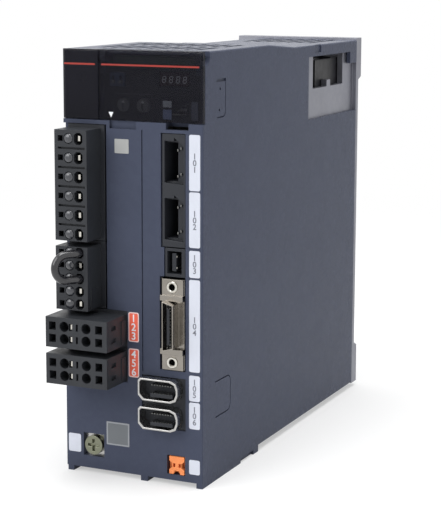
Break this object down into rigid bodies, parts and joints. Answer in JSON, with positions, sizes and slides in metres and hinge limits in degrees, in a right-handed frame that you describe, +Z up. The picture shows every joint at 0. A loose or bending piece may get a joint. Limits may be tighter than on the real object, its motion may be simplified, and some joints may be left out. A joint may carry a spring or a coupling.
{
  "type": "servo drive",
  "caption": "Narrow upright two-axis servo drive: grey housing on a cast heat sink with rear mounting pads, pull-out terminal plugs, hinged display cover and a column of connectors.",
  "frame": {"origin": "bottom centre of the bounding box, at the height of the rails under the front of the housing", "axes": "+Z up, front face towards -Y with the plugs, mounting face towards +Y, +X to the right seen from the front"},
  "size_m": [0.06, 0.195, 0.168],
  "materials": {
    "housing_grey": "fine texture",
    "cast_aluminium": "as cast",
    "black_window": "smooth",
    "panel_black": "matt",
    "plug_black": "satin",
    "button_black": "smooth",
    "socket_black": "matt",
    "wire_black": "smooth",
    "contact_metal": "tinned",
    "shell_metal": "nickel plated",
    "screw_metal": "nickel plated",
    "white_plastic": "satin",
    "blue_plastic": "satin",
    "display_red": "smooth",
    "lamp_red": "clear",
    "battery_orange": "satin",
    "board_green": "lacquered",
    "capacitor_sleeve": "smooth",
    "module_body": "satin",
    "relay_body": "satin",
    "ferrite": "matt",
    "fan_black": "satin"
  },
  "bodies": {
    "chassis": {"battery_socket": "battery_orange", "bus_capacitors": "capacitor_sleeve", "charge_led": "lamp_red", "charge_window": "black_window", "control_board": "board_green", "control_panel": "panel_black", "dip_switch": "blue_plastic", "display_module": "display_red", "driver_board": "board_green", "earth_plate": "shell_metal", "earth_screw": "screw_metal", "encoder_inserts": "socket_black", "encoder_shells": "shell_metal", "fan_frame": "fan_black", "header_pins": "contact_metal", "heat_sink": "cast_aluminium", "housing": "housing_grey", "inrush_relay": "relay_body", "io_insert": "socket_black", "io_shell": "shell_metal", "jack_contacts": "contact_metal", "link_header": "socket_black", "motor_headers": "socket_black", "network_jacks": "socket_black", "operator_board": "board_green", "power_board": "board_green", "power_modules": "module_body", "rotary_switches": "blue_plastic", "safety_socket": "socket_black", "supply_header": "socket_black", "terminal_board": "board_green", "transformer": "ferrite", "usb_socket": "shell_metal"},
    "cover": {"display_cover": "black_window"},
    "dial_1": {"rotary_dial_1": "white_plastic"},
    "dial_2": {"rotary_dial_2": "white_plastic"},
    "slider_1": {"dip_slider_1": "white_plastic"},
    "slider_2": {"dip_slider_2": "white_plastic"},
    "impeller": {"fan_impeller": "fan_black"},
    "supply_plug_body": {"supply_plug": "plug_black", "supply_clamps": "contact_metal"},
    "link_plug_body": {"link_plug": "plug_black", "link_clamps": "contact_metal", "link_jumper": "wire_black"},
    "motor_plug_body_1": {"motor_plug_1": "plug_black", "motor_clamps_1": "contact_metal"},
    "motor_plug_body_2": {"motor_plug_2": "plug_black", "motor_clamps_2": "contact_metal"},
    "supply_release_1": {"supply_button_1": "button_black"},
    "supply_release_2": {"supply_button_2": "button_black"},
    "supply_release_3": {"supply_button_3": "button_black"},
    "supply_release_4": {"supply_button_4": "button_black"},
    "supply_release_5": {"supply_button_5": "button_black"},
    "supply_release_6": {"supply_button_6": "button_black"},
    "link_release_1": {"link_button_1": "button_black"},
    "link_release_2": {"link_button_2": "button_black"},
    "link_release_3": {"link_button_3": "button_black"},
    "link_release_4": {"link_button_4": "button_black"},
    "link_release_5": {"link_button_5": "button_black"}
  },
  "joints": [
    {"name": "cover_hinge", "type": "hinge", "parent": "chassis", "child": "cover", "pos_m": [0.008, -0.0736, 0.1654], "axis": [-1, 0, 0], "range_deg": [0, 95]},
    {"name": "dial_1_turn", "type": "hinge", "parent": "chassis", "child": "dial_1", "pos_m": [-0.0056, -0.0727, 0.1468], "axis": [0, 1, 0], "continuous": true},
    {"name": "dial_2_turn", "type": "hinge", "parent": "chassis", "child": "dial_2", "pos_m": [0.0027, -0.0727, 0.1468], "axis": [0, 1, 0], "continuous": true},
    {"name": "slider_1_move", "type": "slide", "parent": "chassis", "child": "slider_1", "axis": [0, 0, 1], "range_m": [0, 0.0016]},
    {"name": "slider_2_move", "type": "slide", "parent": "chassis", "child": "slider_2", "axis": [0, 0, 1], "range_m": [0, 0.0016]},
    {"name": "fan_spin", "type": "hinge", "parent": "chassis", "child": "impeller", "pos_m": [0.0049, 0.0707, 0.15], "axis": [0, 0, 1], "continuous": true},
    {"name": "supply_plug_pull", "type": "slide", "parent": "chassis", "child": "supply_plug_body", "axis": [0, -1, 0], "range_m": [0, 0.014]},
    {"name": "link_plug_pull", "type": "slide", "parent": "chassis", "child": "link_plug_body", "axis": [0, -1, 0], "range_m": [0, 0.014]},
    {"name": "motor_plug_1_pull", "type": "slide", "parent": "chassis", "child": "motor_plug_body_1", "axis": [0, -1, 0], "range_m": [0, 0.014]},
    {"name": "motor_plug_2_pull", "type": "slide", "parent": "chassis", "child": "motor_plug_body_2", "axis": [0, -1, 0], "range_m": [0, 0.014]},
    {"name": "supply_release_1_press", "type": "slide", "parent": "supply_plug_body", "child": "supply_release_1", "axis": [0, 1, 0], "range_m": [0, 0.0012], "stiffness_N_per_m": 400},
    {"name": "supply_release_2_press", "type": "slide", "parent": "supply_plug_body", "child": "supply_release_2", "axis": [0, 1, 0], "range_m": [0, 0.0012], "stiffness_N_per_m": 400},
    {"name": "supply_release_3_press", "type": "slide", "parent": "supply_plug_body", "child": "supply_release_3", "axis": [0, 1, 0], "range_m": [0, 0.0012], "stiffness_N_per_m": 400},
    {"name": "supply_release_4_press", "type": "slide", "parent": "supply_plug_body", "child": "supply_release_4", "axis": [0, 1, 0], "range_m": [0, 0.0012], "stiffness_N_per_m": 400},
    {"name": "supply_release_5_press", "type": "slide", "parent": "supply_plug_body", "child": "supply_release_5", "axis": [0, 1, 0], "range_m": [0, 0.0012], "stiffness_N_per_m": 400},
    {"name": "supply_release_6_press", "type": "slide", "parent": "supply_plug_body", "child": "supply_release_6", "axis": [0, 1, 0], "range_m": [0, 0.0012], "stiffness_N_per_m": 400},
    {"name": "link_release_1_press", "type": "slide", "parent": "link_plug_body", "child": "link_release_1", "axis": [0, 1, 0], "range_m": [0, 0.0012], "stiffness_N_per_m": 400},
    {"name": "link_release_2_press", "type": "slide", "parent": "link_plug_body", "child": "link_release_2", "axis": [0, 1, 0], "range_m": [0, 0.0012], "stiffness_N_per_m": 400},
    {"name": "link_release_3_press", "type": "slide", "parent": "link_plug_body", "child": "link_release_3", "axis": [0, 1, 0], "range_m": [0, 0.0012], "stiffness_N_per_m": 400},
    {"name": "link_release_4_press", "type": "slide", "parent": "link_plug_body", "child": "link_release_4", "axis": [0, 1, 0], "range_m": [0, 0.0012], "stiffness_N_per_m": 400},
    {"name": "link_release_5_press", "type": "slide", "parent": "link_plug_body", "child": "link_release_5", "axis": [0, 1, 0], "range_m": [0, 0.0012], "stiffness_N_per_m": 400}
  ]
}
